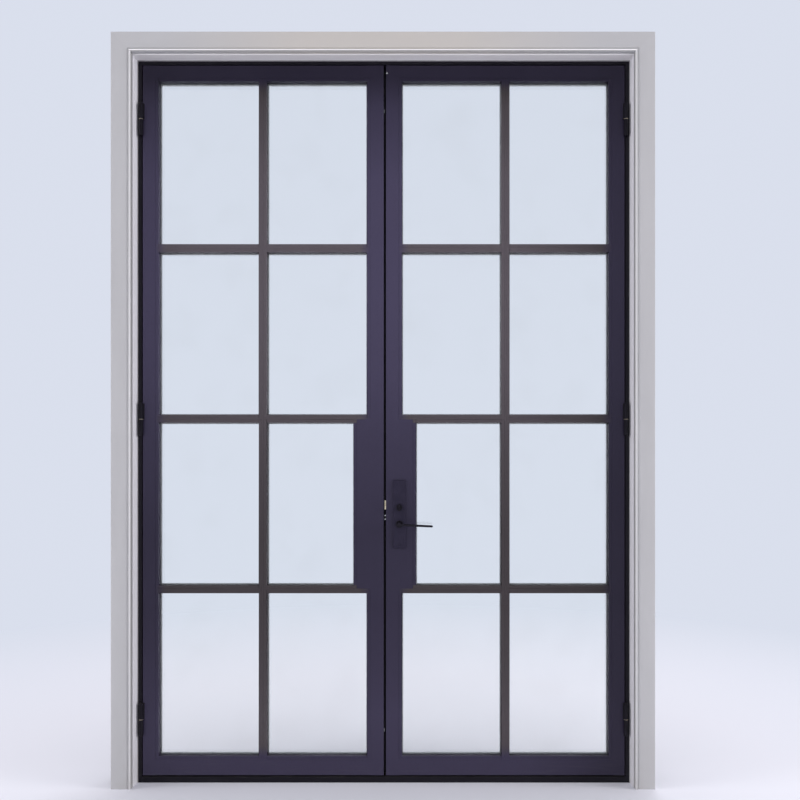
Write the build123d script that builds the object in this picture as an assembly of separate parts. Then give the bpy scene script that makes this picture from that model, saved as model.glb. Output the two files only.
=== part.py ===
from build123d import *
import math
import os

# A pair of in-swinging steel french doors in a rebated steel frame, with white liner and casing.
# Millimetres. X runs across the doorway, -Y faces the room, Z is up from the floor.
# The origin lies under the threshold, halfway across the doorway and halfway through the frame.

# Steel frame
opening_w = 1832.0        # between the jamb rebates
opening_h = 2720.0        # floor to the head rebate
frame_face = 50.0         # face width of jambs and head
frame_depth = 120.0
frame_wall = 3.0
stop_w = 15.0             # how far the stop stands in past the rebate
stop_gap = 4.0            # closed leaf to stop, filled by the seal
seal_inset = 3.0          # seal to the edges of the stop
seal_clear = 0.3          # seal to the closed leaf
seal_edge_r = 1.3
anchor_r = 5.5
anchor_rows = 4           # wall anchor holes up each jamb
anchor_end = 150.0        # lowest hole above the floor, highest below the head

# Threshold
sill_h = 22.0             # under the leaves
ridge_h = 12.0            # water bar behind the leaves, above the sill
ridge_w = 12.0
sill_nose_h = 12.0        # outer edge, where the slope ends

# White liner and casing
jamb_show = 17.0          # jamb face left showing beside the liner
head_show = 15.0
liner_t = 19.0
liner_depth = 49.0
casing_w = 75.0
casing_t = 18.0
casing_ease = 2.0         # rounded outer corner
casing_reveal = 3.0       # liner edge left showing beside the casing
bead_w = 12.0             # raised bead along the inner edge of the casing
bead_t = 22.0
bead_base_t = 16.0
quirk_w = 2.0             # groove between bead and flat
relief_t = 1.5            # hollow in the back of the casing, between the liner and the wall
relief_side = 2.0         # liner to the hollow
wall_land_w = 14.0        # strip that lies on the wall

# Leaves
hinge_gap = 3.0
head_gap = 3.0
sill_gap = 6.0
meeting_gap = 8.5
meeting_x = 4.4           # middle of the meeting gap, right of the middle of the doorway
leaf_depth = 50.0
leaf_wall = 3.0
stile_tube = 48.0
left_meeting_tube = 51.5
right_meeting_tube = 48.5
top_tube = 48.0
bottom_tube = 60.5
tube_edge_r = 1.5
lock_panel_w = 114.0      # meeting edge to the glass beside the lock

# Glazing
lip_w = 12.0              # fixed lip on the outer side, and width of the beads
lip_t = 5.0
bar_web = 6.0
rows = 4
lock_row = 1              # counted from the bottom
glass_gap = 3.0           # glass edge to steel
sheet_t = 5.0
spacer_t = 10.0
spacer_edge = 5.0         # glass edge to spacer, filled by sealant
spacer_w = 8.0            # a few millimetres show past the beads
spacer_fit = 0.3          # film of sealant against each sheet
tape_t = 1.0              # outer gasket
gasket_t = 1.5            # inner gasket
bead_set_back = 0.5       # glazing bead behind the room face
block_w = 40.0            # setting blocks under the glass
block_inset = 60.0

# Barrel hinges
hinge_count = 3           # on each leaf, evenly spaced
hinge_low = 242.0         # floor to the middle of the lowest
hinge_high = 210.0        # middle of the highest to the head rebate
hinge_len = 125.0
hinge_r = 8.0
hinge_out = 8.5           # axis in front of the leaf face
hinge_side = 3.0          # axis past the edge of the leaf
hinge_dome = 3.0
washer_t = 2.0
washer_over = 0.3
lug_w = 8.0
lug_clear = 0.5
pin_r = 5.0
pin_reach = 45.0          # into each knuckle
pin_fit = 0.05
hinge_play = 0.2

# Seals on the leaves
sweep_w = 12.0
sweep_base = 2.0
sweep_fin = 4.0
sweep_clear = 0.4
sweep_end = 2.0
sweep_bolt_room = 24.0    # sweep stops short of the bottom bolt
meeting_seal_t = 6.0
meeting_seal_w = 9.0
meeting_seal_back = 2.5   # seal to the outer face
meeting_seal_end = 2.0
meeting_seal_r = 2.5

# Lock
backset = 51.0
lever_z = 980.0
latch_z = 1004.0
turn_z = 1043.0
bolt_z = 1051.0
edge_plate_w = 25.0       # faceplate, strike plate and flush bolt plates
edge_plate_fit = 0.15
backing_t = 3.0           # reinforcement welded behind each edge plate
backing_side = 3.0
backing_end = 8.0
faceplate_h = 235.0
strike_below = 34.0       # strike plate under the latch and above the bolt
strike_box_depth = 21.0   # closed pockets behind the strike plate, from the meeting edge
strike_box_t = 1.5
case_h = 200.0
case_l = 92.0
case_t = 16.0
case_wall = 2.0
case_z = 1005.0
case_fit = 0.6
slide_fit = 0.3
nose_out = 6.0            # both bolts at rest, out in the meeting gap
bolt_h = 34.0
bolt_l = 38.0
bolt_throw = 25.0
tail_t = 4.0
latch_h = 18.0
latch_l = 30.0
latch_bevel = 5.0
pocket_clear = 0.6        # around each bolt in the strike
hole_clear = 2.0          # around the handles' necks and the turn in the leaf
cylinder_clear = 1.0

# Lever, knob, hub and spindle
lever_l = 126.0           # pivot to tip
lever_h = 9.0
lever_tip_h = 7.5
lever_t = 14.0
lever_out = 38.0          # grip in front of the plate
lever_droop = 2.7         # degrees
lever_edge_r = 2.5
neck_r = 9.0
neck_fit = 0.3
neck_sink = 0.6           # neck's end inside the plate's hole
knob_r = 24.0             # outer handle
knob_t = 27.0
knob_out = 22.0           # back of the knob in front of the plate
knob_edge_r = 9.0
spindle_w = 8.0
spindle_fit = 0.1
spindle_seat = 20.0       # depth of the square socket in each handle
spindle_end_gap = 0.3     # spindle to the bottom of the socket
hub_r = 8.0
hub_arm_r = 2.5
hub_arm_throw = 10.46     # pivot to the middle of the arm's tip
hub_arm_t = 6.0
hub_gap = 0.5             # arm to latch tail at rest
latch_lug_w = 4.0
latch_lug_drop = 8.4      # pivot to the underside of the latch lug
latch_tail_h = 8.0

# Plates, turn and cylinder
plate_w = 49.0
plate_h = 257.0
plate_t = 8.0
plate_z = 1017.5
plate_edge_r = 3.0
turn_r = 11.0
turn_base_t = 4.0
turn_base_r = 1.8
turn_grip_w = 7.0
turn_grip_out = 16.0      # in front of the base
turn_grip_h = 26.0
turn_grip_r = 2.3
turn_shaft_r = 6.0
turn_sweep = 90.0         # degrees from drawn back to fully thrown
blade_w = 7.0
blade_t = 2.6
blade_fit = 0.2
blade_seat = 6.0          # blade inside the key plug
cam_r = 6.0
cam_pin_r = 3.0
cam_arm_r = 3.5
cam_arm_gap = 1.0         # cam's arm to the tail of the dead bolt
cam_slot_clear = 0.85
cylinder_r = 12.0
collar_r = 15.0
collar_t = 5.0
collar_bevel = 2.2
plug_r = 6.5
plug_fit = 0.05
keyway_w = 1.6
keyway_h = 8.0
keyway_depth = 6.0

# Flush bolts in the left leaf
rod_r = 6.0
rod_back = 14.0           # rod behind the meeting edge
rod_fit = 0.3
rod_socket_fit = 0.5
rod_rest = 0.5            # rod end inside the leaf at rest
rod_travel = 20.0
flush_plate_h = 170.0
flush_plate_end = 70.0    # plate to the end of the leaf
slider_w = 14.5
slider_t = 12.0
slider_h = 16.0
nub_w = 7.0               # thumb slide, across the plate
nub_h = 12.0
nub_out = 2.5

# Largest rounding of an edge, as a share of the narrowest width beside it
round_limit = 0.45

# Places worked out from the sizes above
frame_front = -frame_depth / 2
frame_back = frame_depth / 2
leaf_front = frame_front
leaf_back = leaf_front + leaf_depth
leaf_mid = (leaf_front + leaf_back) / 2
stop_face = leaf_back + stop_gap
rebate_x = opening_w / 2
leaf_x = rebate_x - hinge_gap
leaf_bottom = sill_h + sill_gap
leaf_top = opening_h - head_gap
left_edge = meeting_x - meeting_gap / 2
right_edge = meeting_x + meeting_gap / 2
left_leaf_w = leaf_x + left_edge
right_leaf_w = leaf_x - right_edge
liner_x = rebate_x + jamb_show
liner_z = opening_h + head_show
casing_back = frame_front - liner_depth
casing_x = liner_x + casing_reveal
casing_z = liner_z + casing_reveal
hinge_x = leaf_x + hinge_side
hinge_y = leaf_front - hinge_out
hinge_step = (opening_h - hinge_low - hinge_high) / (hinge_count - 1)
glass_back = leaf_back - lip_t - tape_t
glass_front = glass_back - 2 * sheet_t - spacer_t
bead_back = glass_front - gasket_t
lock_x = right_edge + backset
strike_mid = (latch_z + bolt_z) / 2
strike_h = bolt_z - latch_z + 2 * strike_below
neck_start = plate_t - neck_sink
cam_throw = bolt_throw / 2 / math.sin(math.radians(turn_sweep / 2))
turn_start = turn_sweep * nose_out / bolt_throw
mitre_reach = 2 * (frame_face + casing_w)


def block(x, y, z):
    # A box between pairs of limits
    size = [hi - lo for lo, hi in (x, y, z)]
    middle = [(lo + hi) / 2 for lo, hi in (x, y, z)]
    return Pos(*middle) * Box(*size)


def about(middle, width):
    return (middle - width / 2, middle + width / 2)


def rod_y(radius, x, z, y):
    # A round bar along Y between two limits
    return Pos(x, (y[0] + y[1]) / 2, z) * Rot(90, 0, 0) * Cylinder(radius, y[1] - y[0])


def rod_z(radius, x, y, z):
    return Pos(x, y, (z[0] + z[1]) / 2) * Cylinder(radius, z[1] - z[0])


def rounding(radius, *widths):
    # An edge radius, kept below half of each width that it rounds
    return min(radius, round_limit * min(widths))


def polygon(points):
    return make_face(Polyline(*points, close=True).edges())


def hollow(face, wall):
    return face - offset(face, amount=-wall, kind=Kind.INTERSECTION)


def upright(section, x, top):
    # A section drawn across the right-hand side, run up from the floor
    return extrude(Pos(x, 0, 0) * section, amount=top)


def across(section, z, half):
    # The same section turned to run over the doorway
    plane = Plane(origin=(half, 0, z), x_dir=(0, 0, 1), z_dir=(-1, 0, 0))
    return extrude(plane * section, amount=2 * half)


def mitre(x, z, above):
    # What a corner mitre takes off: above its diagonal from a leg, below it from the head
    far = (-mitre_reach, mitre_reach) if above else (mitre_reach, -mitre_reach)
    face = Pos(x, z) * polygon([(-mitre_reach, -mitre_reach), (mitre_reach, mitre_reach), far])
    return extrude(Plane.XZ * face, amount=2 * mitre_reach, both=True)


def flip(shape):
    return mirror(shape, about=Plane.YZ)


def mitred_set(section, x, z, width):
    # Left leg, right leg and head of one section round the doorway
    right = upright(section, x, z + width) - mitre(x, z, True)
    cut = mitre(x, z, False)
    head = across(section, z, x + width) - cut - flip(cut)
    return flip(right), right, head


def frame_section():
    outline = [
        (0, frame_front), (frame_face, frame_front), (frame_face, frame_back),
        (-stop_w, frame_back), (-stop_w, stop_face), (0, stop_face),
    ]
    return hollow(polygon(outline), frame_wall)


def anchor_heights():
    step = (opening_h - 2 * anchor_end) / (anchor_rows - 1)
    return [anchor_end + step * i for i in range(anchor_rows)]


def steel_frame():
    left, right, head = mitred_set(frame_section(), rebate_x, opening_h, frame_face)
    middle = (stop_face + frame_back) / 2
    for z in anchor_heights():
        for side in (-1, 1):
            hole = Rot(0, 90, 0) * Cylinder(anchor_r, 2 * (frame_face + stop_w))
            left -= Pos(side * rebate_x, middle, z) * hole
            right -= Pos(side * rebate_x, middle, z) * hole
    socket = rod_z(rod_r + rod_socket_fit, left_edge - rod_back, leaf_mid,
                   (opening_h - frame_wall, opening_h + 2 * frame_wall))
    return left, right, head - socket


def threshold():
    ridge_z = sill_h + ridge_h
    outline = [
        (frame_front, 0), (frame_front, sill_h), (stop_face, sill_h), (stop_face, ridge_z),
        (stop_face + ridge_w, ridge_z), (frame_back, sill_nose_h), (frame_back, 0),
    ]
    body = extrude(Plane.YZ * hollow(polygon(outline), frame_wall), amount=rebate_x, both=True)
    for side in (-1, 1):
        notch = block(about(side * rebate_x, 2 * stop_w), (stop_face, frame_back), (0, ridge_z))
        body -= notch
    return body - rod_z(rod_r + rod_socket_fit, left_edge - rod_back, leaf_mid,
                        (sill_h - 2 * frame_wall, sill_h + frame_wall))


def seal_strip(x, z):
    strip = block(x, (leaf_back + seal_clear, stop_face), z)
    along = Axis.Z if z[1] - z[0] > x[1] - x[0] else Axis.X
    radius = rounding(seal_edge_r, stop_gap - seal_clear, stop_w - 2 * seal_inset)
    return fillet(strip.edges().filter_by(along).group_by(Axis.Y)[0], radius)


def frame_seal():
    inner = rebate_x - stop_w + seal_inset
    outer = rebate_x - seal_inset
    low = opening_h - stop_w + seal_inset
    leg = seal_strip((inner, outer), (sill_h + ridge_h, low))
    return [flip(leg), leg, seal_strip((-outer, outer), (low, opening_h - seal_inset))]


def liner():
    deep = (casing_back, frame_front)
    leg = block((liner_x, liner_x + liner_t), deep, (0, liner_z))
    head = block(about(0, 2 * (liner_x + liner_t)), deep, (liner_z, liner_z + liner_t))
    return flip(leg), leg, head


def casing_section():
    def y(thickness):
        return casing_back - thickness

    flat_start = bead_w + quirk_w
    bead = ThreePointArc((0, y(bead_base_t)), (bead_w / 2, y(bead_t)), (bead_w, y(bead_base_t)))
    ease = RadiusArc((casing_w - casing_ease, y(casing_t)), (casing_w, y(casing_t - casing_ease)),
                     casing_ease)
    face = Polyline((bead_w, y(bead_base_t)), (flat_start, y(bead_base_t)),
                    (flat_start, y(casing_t)), (casing_w - casing_ease, y(casing_t)))
    hollow_start = liner_t - casing_reveal + relief_side
    hollow_end = casing_w - wall_land_w
    back = Polyline((casing_w, y(casing_t - casing_ease)), (casing_w, y(0)), (hollow_end, y(0)),
                    (hollow_end, y(relief_t)), (hollow_start, y(relief_t)), (hollow_start, y(0)),
                    (0, y(0)), (0, y(bead_base_t)))
    return make_face([*bead.edges(), *face.edges(), *ease.edges(), *back.edges()])


def casing():
    return mitred_set(casing_section(), casing_x, casing_z, casing_w)


def barrel(z, domed_end):
    body = rod_z(hinge_r, hinge_x, hinge_y, z)
    ends = body.edges().filter_by(GeomType.CIRCLE).sort_by(Axis.Z)
    return fillet(ends[domed_end], rounding(hinge_dome, hinge_r))


def right_hinges():
    # Frame knuckles, leaf knuckles, pins and washers, lowest hinge first
    frame_knuckles, leaf_knuckles, pins, washers = [], [], [], []
    lug_y = (hinge_y, leaf_front)
    for i in range(hinge_count):
        mid = hinge_low + i * hinge_step
        low = (mid - hinge_len / 2, mid - washer_t / 2)
        high = (mid + washer_t / 2 + hinge_play, mid + hinge_len / 2)
        pin_z = (low[1] - pin_reach, mid + washer_t / 2 + pin_reach)
        pin = rod_z(pin_r, hinge_x, hinge_y, pin_z)
        frame_lug = block((hinge_x, hinge_x + lug_w), lug_y, (low[0] + hinge_dome, low[1]))
        leaf_lug = block((leaf_x - lug_w, leaf_x - lug_clear), lug_y, (high[0], high[1] - hinge_dome))
        bore = rod_z(pin_r + pin_fit, hinge_x, hinge_y, (pin_z[0], pin_z[1] + hinge_play))
        frame_knuckles.append(barrel(low, 0) + frame_lug - pin)
        leaf_knuckles.append(barrel(high, -1) + leaf_lug - bore)
        pins.append(pin)
        washers.append(rod_z(hinge_r + washer_over, hinge_x, hinge_y, about(mid, washer_t)) - bore)
    return frame_knuckles, leaf_knuckles, pins, washers


# The leaves are drawn from their hinge edge, u = 0, to their meeting edge, u = width

def place(shape, side):
    if side == "left":
        return Pos(-leaf_x, 0, 0) * shape
    return Pos(leaf_x, 0, 0) * flip(shape)


class Leaf:
    def __init__(self, width, meeting_tube):
        self.width = width
        self.tube_u = width - meeting_tube
        self.panel_u = width - lock_panel_w + lip_w
        self.low = leaf_bottom + bottom_tube
        self.high = leaf_top - top_tube
        self.cell_w = (self.tube_u - stile_tube - bar_web) / 2
        self.cell_h = (self.high - self.low - (rows - 1) * bar_web) / rows
        self.bar_u = (stile_tube + self.tube_u) / 2
        self.bar_z = [self.low + i * (self.cell_h + bar_web) - bar_web / 2 for i in range(1, rows)]

    def cells(self):
        # The holes between the steel members, as pairs of limits
        for row in range(rows):
            z = self.low + row * (self.cell_h + bar_web)
            end = self.panel_u if row == lock_row else self.tube_u
            yield (stile_tube, stile_tube + self.cell_w), (z, z + self.cell_h)
            yield (self.bar_u + bar_web / 2, end), (z, z + self.cell_h)


lip_y = (leaf_back - lip_t, leaf_back)
web_y = (leaf_front, leaf_back - lip_t)
full_y = (leaf_front, leaf_back)
tube_y = (leaf_front + leaf_wall, leaf_back - leaf_wall)


def lip(u, z):
    return block(u, lip_y, z)


def box_tube(u, z, along, across, outer):
    # A closed steel tube, eased on its room face along the outer edge of the leaf
    body = block(u, full_y, z)
    edges = body.edges().filter_by(along).group_by(Axis.Y)[0].sort_by(across)
    body = fillet(edges[outer], rounding(tube_edge_r, leaf_depth))
    inside = [(lo + leaf_wall, hi - leaf_wall) for lo, hi in (u, full_y, z)]
    return body - block(*inside)


def edge_recess(leaf, z, holes):
    # Reinforcement behind an edge plate, the recess for the plate, and holes through both
    y = about(leaf_mid, edge_plate_w)
    wall = leaf.width - leaf_wall
    grown = (y[0] - edge_plate_fit, y[1] + edge_plate_fit)
    backing = block((wall - backing_t, wall), (y[0] - backing_side, y[1] + backing_side),
                    (z[0] - backing_end, z[1] + backing_end))
    recess = block((wall, leaf.width), grown, (z[0] - edge_plate_fit, z[1] + edge_plate_fit))
    for size_y, hole_z in holes:
        recess += block((wall - 2 * backing_t, wall), about(leaf_mid, size_y), hole_z)
    return backing, recess


def hinge_stile(leaf):
    body = box_tube((0, stile_tube), (leaf_bottom, leaf_top), Axis.Z, Axis.X, 0)
    return body + lip((stile_tube, stile_tube + lip_w), (leaf.low + lip_w, leaf.high - lip_w))


def meeting_stile(leaf, recesses):
    body = box_tube((leaf.tube_u, leaf.width), (leaf_bottom, leaf_top), Axis.Z, Axis.X, -1)
    half = bar_web / 2 + lip_w
    lip_u = (leaf.tube_u - lip_w, leaf.tube_u)
    body += lip(lip_u, (leaf.low + lip_w, leaf.bar_z[lock_row - 1] + half))
    body += lip(lip_u, (leaf.bar_z[lock_row] - half, leaf.high - lip_w))
    for backing, recess in recesses:
        body = body + backing - recess
    return body


def rail(leaf, z, lip_z, outer):
    body = box_tube((stile_tube, leaf.tube_u), z, Axis.X, Axis.Z, outer)
    return body + lip((stile_tube, leaf.tube_u), lip_z)


def top_rail(leaf):
    return rail(leaf, (leaf.high, leaf_top), (leaf.high - lip_w, leaf.high), -1)


def bottom_rail(leaf):
    return rail(leaf, (leaf_bottom, leaf.low), (leaf.low, leaf.low + lip_w), 0)


def upright_bar(leaf):
    web = block(about(leaf.bar_u, bar_web), web_y, (leaf.low, leaf.high))
    return web + lip(about(leaf.bar_u, bar_web + 2 * lip_w), (leaf.low + lip_w, leaf.high - lip_w))


def cross_bars(leaf):
    bars = []
    half_web = bar_web / 2
    half_bar = half_web + lip_w
    for z in leaf.bar_z:
        spans = [(stile_tube, leaf.bar_u, 0, 1), (leaf.bar_u, leaf.tube_u, 1, 0)]
        for start, end, cut_start, cut_end in spans:
            web = (start + half_web * cut_start, end - half_web * cut_end)
            flange = (start + (half_bar if cut_start else lip_w), end - (half_bar if cut_end else lip_w))
            bars.append(block(web, web_y, about(z, bar_web)) + lip(flange, about(z, 2 * half_bar)))
    return bars


def lock_panel(leaf):
    # Flat steel box between the two middle bars, notched where their flanges pass
    low, high = leaf.bar_z[lock_row - 1] + bar_web / 2, leaf.bar_z[lock_row] - bar_web / 2
    u = (leaf.panel_u, leaf.tube_u)
    body = block(u, full_y, (low, high))
    for z in ((low, low + lip_w), (high - lip_w, high)):
        body -= block(u, lip_y, z)
    body += lip((leaf.panel_u - lip_w, leaf.panel_u), (low + lip_w, high - lip_w))
    end = lip_w + leaf_wall
    return body - block((u[0] + leaf_wall, u[1] - leaf_wall), tube_y, (low + end, high - end))


def inset(limits, amount):
    return (limits[0] + amount, limits[1] - amount)


def ring(u, z, outer, width, y):
    # A rectangular frame, its outer edge set in from the cell by one amount
    body = block(inset(u, outer), y, inset(z, outer))
    return body - block(inset(u, outer + width), y, inset(z, outer + width))


def glass_sheets(leaf):
    sheets = []
    for u, z in leaf.cells():
        for y in ((glass_back - sheet_t, glass_back), (glass_front, glass_front + sheet_t)):
            sheets.append(block(inset(u, glass_gap), y, inset(z, glass_gap)))
    return sheets


def glass_spacers(leaf):
    y = inset((glass_front + sheet_t, glass_back - sheet_t), spacer_fit)
    return [ring(u, z, glass_gap + spacer_edge, spacer_w, y) for u, z in leaf.cells()]


def glazing_beads(leaf):
    # Four strips to a pane, uprights the full height and the others between them
    strips = []
    y = (leaf_front + bead_set_back, bead_back)
    for u, z in leaf.cells():
        for end in ((u[0], u[0] + lip_w), (u[1] - lip_w, u[1])):
            strips.append(block(end, y, z))
        for end in ((z[0], z[0] + lip_w), (z[1] - lip_w, z[1])):
            strips.append(block(inset(u, lip_w), y, end))
    return strips


def glazing_gaskets(leaf):
    pieces = []
    for u, z in leaf.cells():
        for y in ((glass_back, glass_back + tape_t), (bead_back, glass_front)):
            pieces.append(ring(u, z, glass_gap, lip_w - glass_gap, y))
        for middle in inset(u, block_inset):
            pieces.append(block(about(middle, block_w), (glass_front, glass_back),
                                (z[0], z[0] + glass_gap)))
    return pieces


def sweep(leaf, end_room):
    top, tip = leaf_bottom, sill_h + sweep_clear
    half, fin = sweep_w / 2, sweep_fin / 2
    outline = [
        (leaf_mid - half, top), (leaf_mid - half, top - sweep_base), (leaf_mid - fin, top - sweep_base),
        (leaf_mid - fin / 2, tip), (leaf_mid + fin / 2, tip), (leaf_mid + fin, top - sweep_base),
        (leaf_mid + half, top - sweep_base), (leaf_mid + half, top),
    ]
    start = Plane.YZ.offset(sweep_end)
    return extrude(start * polygon(outline), amount=leaf.width - sweep_end - end_room)


def meeting_seal(leaf):
    back = leaf_back - meeting_seal_back
    body = block((leaf.width, leaf.width + meeting_seal_t), (back - meeting_seal_w, back),
                 (leaf_bottom + meeting_seal_end, leaf_top - meeting_seal_end))
    radius = rounding(meeting_seal_r, meeting_seal_t, meeting_seal_w)
    return fillet(body.edges().filter_by(Axis.Z).group_by(Axis.X)[-1], radius)


def edge_plate(leaf, z, holes):
    # A plate let in flush with the meeting edge
    body = block((leaf.width - leaf_wall, leaf.width), about(leaf_mid, edge_plate_w), z)
    for size_y, hole_z in holes:
        body -= block((leaf.width - leaf_wall, leaf.width), about(leaf_mid, size_y), hole_z)
    return body


def leaf_pieces(leaf, name):
    return {
        f"{name}_hinge_stile": hinge_stile(leaf),
        f"{name}_top_rail": top_rail(leaf),
        f"{name}_bottom_rail": bottom_rail(leaf),
        f"{name}_upright_bar": upright_bar(leaf),
        f"{name}_cross_bars": cross_bars(leaf),
        f"{name}_glass": glass_sheets(leaf),
        f"{name}_glass_spacers": glass_spacers(leaf),
        f"{name}_glazing_beads": glazing_beads(leaf),
        f"{name}_glazing_gaskets": glazing_gaskets(leaf),
    }


# Bolts and pockets, thickness across the leaf and height

case_inside = case_t - 2 * case_wall
bolt_t = case_inside - 2 * slide_fit
pocket_y = bolt_t + 2 * pocket_clear


def strike_holes():
    return [(pocket_y, about(latch_z, latch_h + 2 * pocket_clear)),
            (pocket_y, about(bolt_z, bolt_h + 2 * pocket_clear))]


def strike_boxes(leaf):
    # A closed steel pocket behind each hole of the strike plate
    start = leaf.width - strike_box_depth
    walls, spaces = [], []
    for size_y, z in strike_holes():
        y = about(leaf_mid, size_y)
        walls.append(block((start - strike_box_t, leaf.width - leaf_wall), inset(y, -strike_box_t),
                           inset(z, -strike_box_t)))
        spaces.append(block((start, leaf.width), y, z))
    return walls, spaces


def faceplate_holes():
    return [(bolt_t + 2 * slide_fit, about(latch_z, latch_h + 2 * slide_fit)),
            (bolt_t + 2 * slide_fit, about(bolt_z, bolt_h + 2 * slide_fit))]


def flush_layout():
    # Plate limits, slider height at rest and direction of travel for both flush bolts
    low = leaf_bottom + flush_plate_end
    high = leaf_top - flush_plate_end
    bottom = (low, low + flush_plate_h)
    top = (high - flush_plate_h, high)
    rest = (flush_plate_h - rod_travel) / 2
    return {"top": (top, top[0] + rest, 1), "bottom": (bottom, bottom[1] - rest, -1)}


def flush_slot(z, way):
    ends = sorted((z - way * nub_h / 2, z + way * (rod_travel + nub_h / 2)))
    return [(nub_w + 2 * slide_fit, (ends[0] - slide_fit, ends[1] + slide_fit))]


def flush_bolt(leaf, z, way):
    # Rod, slider block and the thumb slide that shows in the plate's slot
    u = leaf.width - rod_back
    tip = leaf_top - rod_rest if way > 0 else leaf_bottom + rod_rest
    rod = rod_z(rod_r, u, leaf_mid, sorted((z, tip)))
    front = leaf.width - leaf_wall - backing_t - 2 * slide_fit
    body = rod + block((front - slider_w, front), about(leaf_mid, slider_t), about(z, slider_h))
    return body + block((front, leaf.width + nub_out), about(leaf_mid, nub_w), about(z, nub_h))


def left_leaf():
    leaf = Leaf(left_leaf_w, left_meeting_tube)
    strike_z = about(strike_mid, strike_h)
    recesses = [edge_recess(leaf, strike_z, strike_holes())]
    flush_plates, bolts = [], {}
    for name, (plate, z, way) in flush_layout().items():
        slot = flush_slot(z, way)
        recesses.append(edge_recess(leaf, plate, slot))
        flush_plates.append(edge_plate(leaf, plate, slot))
        bolts[f"{name}_flush_bolt"] = flush_bolt(leaf, z, way)
    stile = meeting_stile(leaf, recesses)
    for end in (leaf_bottom, leaf_top):
        stile -= rod_z(rod_r + rod_fit, leaf.width - rod_back, leaf_mid, about(end, 3 * leaf_wall))
    walls, spaces = strike_boxes(leaf)
    stile = stile + walls - spaces
    pieces = leaf_pieces(leaf, "left")
    pieces.update(bolts)
    pieces["left_meeting_stile"] = stile
    pieces["left_lock_panel"] = lock_panel(leaf)
    pieces["left_sweep"] = sweep(leaf, sweep_bolt_room)
    pieces["meeting_seal"] = meeting_seal(leaf)
    pieces["strike_plate"] = edge_plate(leaf, strike_z, strike_holes())
    pieces["flush_bolt_plates"] = flush_plates
    return {name: place_all(shape, "left") for name, shape in pieces.items()}


def place_all(shape, side):
    shapes = shape if isinstance(shape, list) else [shape]
    return [place(s, side) for s in shapes]


def lock_cutouts():
    # Holes in the right leaf for the case, the spindle, the turn and the cylinder
    case = block((right_edge + leaf_wall, right_edge + leaf_wall + case_l + case_fit),
                 about(leaf_mid, case_t + 2 * case_fit), about(case_z, case_h + 2 * case_fit))
    spindle = rod_y(neck_r + hole_clear, lock_x, lever_z, full_y)
    turn = rod_y(turn_shaft_r + hole_clear, lock_x, turn_z, (leaf_front, leaf_mid))
    cylinder = rod_y(cylinder_r + cylinder_clear, lock_x, turn_z, (leaf_mid, leaf_back))
    return case + spindle + turn + cylinder


def right_leaf():
    leaf = Leaf(right_leaf_w, right_meeting_tube)
    face_z = about(case_z, faceplate_h)
    backing, recess = edge_recess(leaf, face_z, [])
    cut = lock_cutouts()
    pieces = leaf_pieces(leaf, "right")
    pieces["right_sweep"] = sweep(leaf, sweep_end)
    pieces["lock_faceplate"] = edge_plate(leaf, face_z, faceplate_holes())
    placed = {name: place_all(shape, "right") for name, shape in pieces.items()}
    placed["right_meeting_stile"] = [place(meeting_stile(leaf, [(backing, recess)]), "right") - cut]
    placed["right_lock_panel"] = [place(lock_panel(leaf), "right") - cut]
    return placed


def lock_case():
    front = right_edge + leaf_wall
    z = about(case_z, case_h)
    body = block((front, front + case_l), about(leaf_mid, case_t), z)
    body -= block((front, front + case_l - case_wall), about(leaf_mid, case_inside), inset(z, case_wall))
    through = about(leaf_mid, 2 * case_t)
    body -= rod_y(hub_r + slide_fit, lock_x, lever_z, through)
    return body - rod_y(cam_r + slide_fit, lock_x, turn_z, through)


def latch_bolt():
    # Bevelled nose, then a tail over the hub with a lug that the hub's arm draws back
    tip = right_edge - nose_out
    back = tip + latch_l
    y = about(leaf_mid, bolt_t)
    body = block((tip, back), y, about(latch_z, latch_h))
    nose = body.edges().filter_by(Axis.Z).group_by(Axis.X)[0].sort_by(Axis.Y)[-1]
    body = chamfer(nose, rounding(latch_bevel, bolt_t))
    face = lock_x + hub_arm_r + hub_gap
    tail_y = about(leaf_mid, hub_arm_t)
    body += block((back, face + latch_lug_w), tail_y, about(latch_z, latch_tail_h))
    return body + block((face, face + latch_lug_w), tail_y, (lever_z + latch_lug_drop, latch_z))


def lock_hub():
    # Square-bored hub with a short round-ended arm
    thick = about(leaf_mid, case_t)
    arm_y = about(leaf_mid, hub_arm_t)
    body = rod_y(hub_r, lock_x, lever_z, thick)
    body += block(about(lock_x, 2 * hub_arm_r), arm_y, (lever_z, lever_z + hub_arm_throw))
    body += rod_y(hub_arm_r, lock_x, lever_z + hub_arm_throw, arm_y)
    return body - square_bar(spindle_w + 2 * spindle_fit, thick)


def square_bar(width, y):
    return block(about(lock_x, width), y, about(lever_z, width))


def dead_bolt():
    # Square bolt with a forked tail: the fork clears the cam's boss and the notch takes its pin
    tip = right_edge - nose_out
    back = tip + bolt_l
    y = about(leaf_mid, bolt_t)
    tail_y = (y[0], y[0] + tail_t)
    slot = lock_x + bolt_throw / 2 - nose_out
    half_slot = cam_pin_r + cam_slot_clear
    boss = cam_r + slide_fit
    tail_end = slot + half_slot + 2 * slide_fit + tail_t
    tail_low = turn_z - cam_throw - 2 * cam_pin_r
    body = block((tip, back), y, about(bolt_z, bolt_h))
    body += block((back - tail_t, tail_end), tail_y, (tail_low, bolt_z + bolt_h / 2))
    body -= block((lock_x - nose_out - boss, tail_end), tail_y, about(turn_z, 2 * boss))
    pin_high = turn_z - cam_throw * math.cos(math.radians(turn_sweep / 2))
    notch_top = pin_high + cam_pin_r + slide_fit
    return body - block(about(slot, 2 * half_slot), tail_y, (tail_low, notch_top))


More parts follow.
